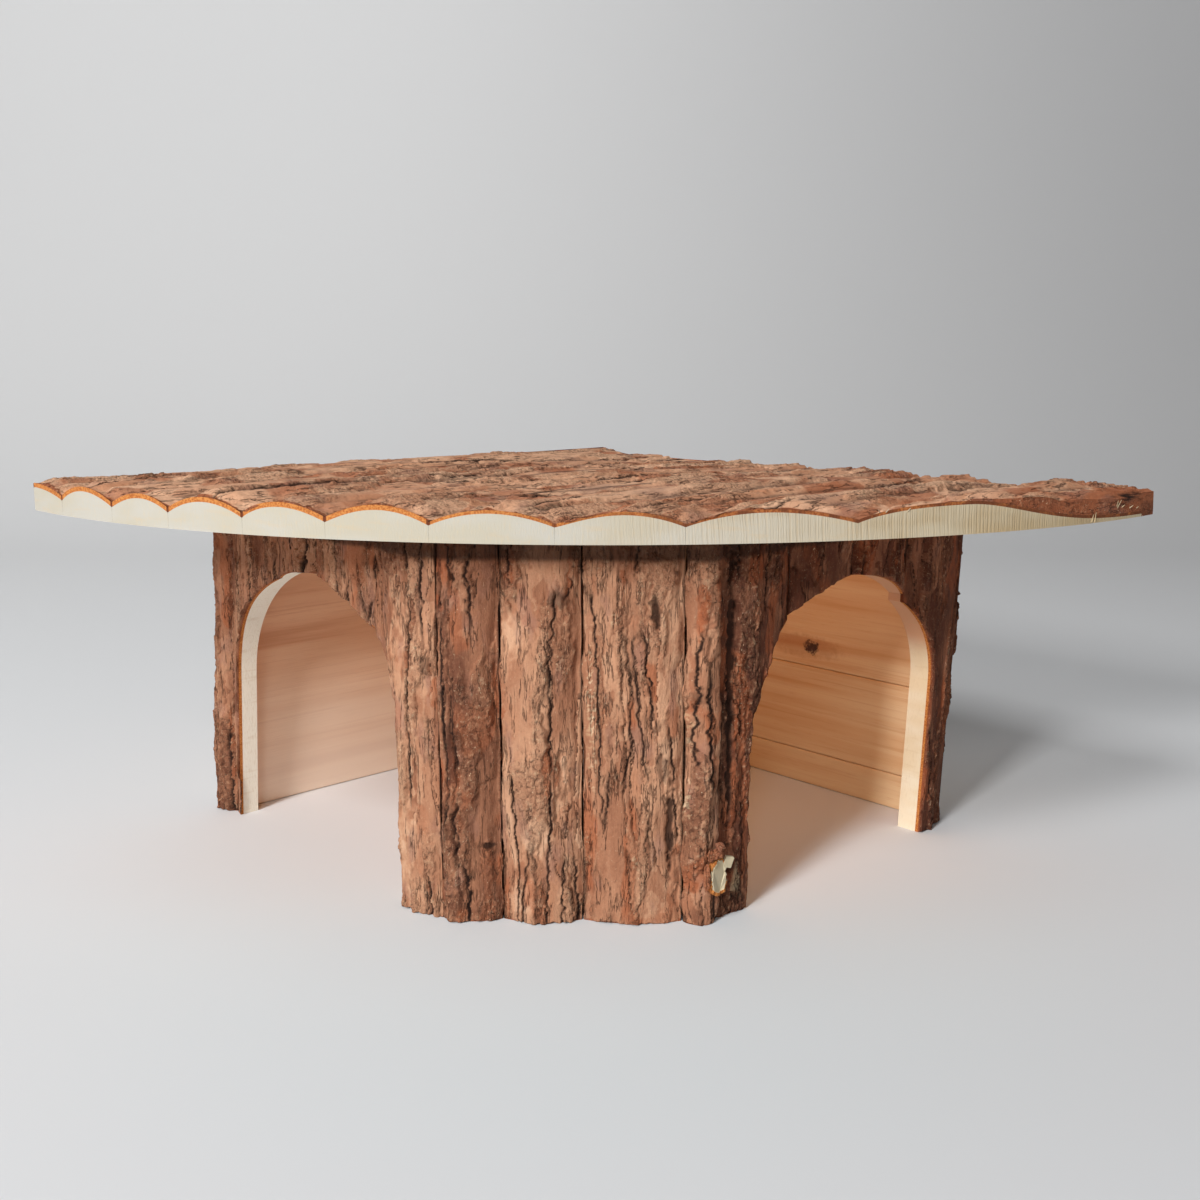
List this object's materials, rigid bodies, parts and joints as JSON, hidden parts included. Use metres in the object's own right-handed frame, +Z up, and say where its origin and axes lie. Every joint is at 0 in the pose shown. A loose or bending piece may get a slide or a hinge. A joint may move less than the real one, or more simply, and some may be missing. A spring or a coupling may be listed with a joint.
{
  "type": "corner pet hide",
  "caption": "Wooden corner hide for a rabbit or other small pet: bark-on slab walls with arched doorways, plain pine back walls and a quarter-round slab roof, open underneath.",
  "frame": {"origin": "on the floor under the middle of the roof's square bounding box", "axes": "+Z up; the back corner points to -X +Y, the left doorway faces -Y, the right doorway faces +X and the pillar faces +X -Y"},
  "size_m": [0.3, 0.3, 0.15],
  "materials": {
    "roof_bark": "rough bark over pale sawn wood",
    "wall_bark": "rough bark over pale sawn wood",
    "pine": "planed pine with visible grain",
    "brad_steel": "plain bright wire"
  },
  "bodies": {
    "root": {"roof_slab_01": "roof_bark", "roof_slab_02": "roof_bark", "roof_slab_03": "roof_bark", "roof_slab_04": "roof_bark", "roof_slab_05": "roof_bark", "roof_slab_06": "roof_bark", "roof_slab_07": "roof_bark", "roof_slab_08": "roof_bark", "roof_slab_09": "roof_bark", "roof_slab_10": "roof_bark", "left_slab_1": "wall_bark", "left_slab_2": "wall_bark", "left_slab_3": "wall_bark", "left_slab_4": "wall_bark", "left_slab_5": "wall_bark", "pillar_slab_1": "wall_bark", "pillar_slab_2": "wall_bark", "pillar_slab_3": "wall_bark", "pillar_slab_4": "wall_bark", "right_slab_1": "wall_bark", "right_slab_2": "wall_bark", "right_slab_3": "wall_bark", "right_slab_4": "wall_bark", "left_back_board": "pine", "right_back_board_lower": "pine", "right_back_board_middle": "pine", "right_back_board_upper": "pine", "roof_brads": "brad_steel", "corner_brads": "brad_steel", "leg_brads": "brad_steel"}
  },
  "joints": []
}
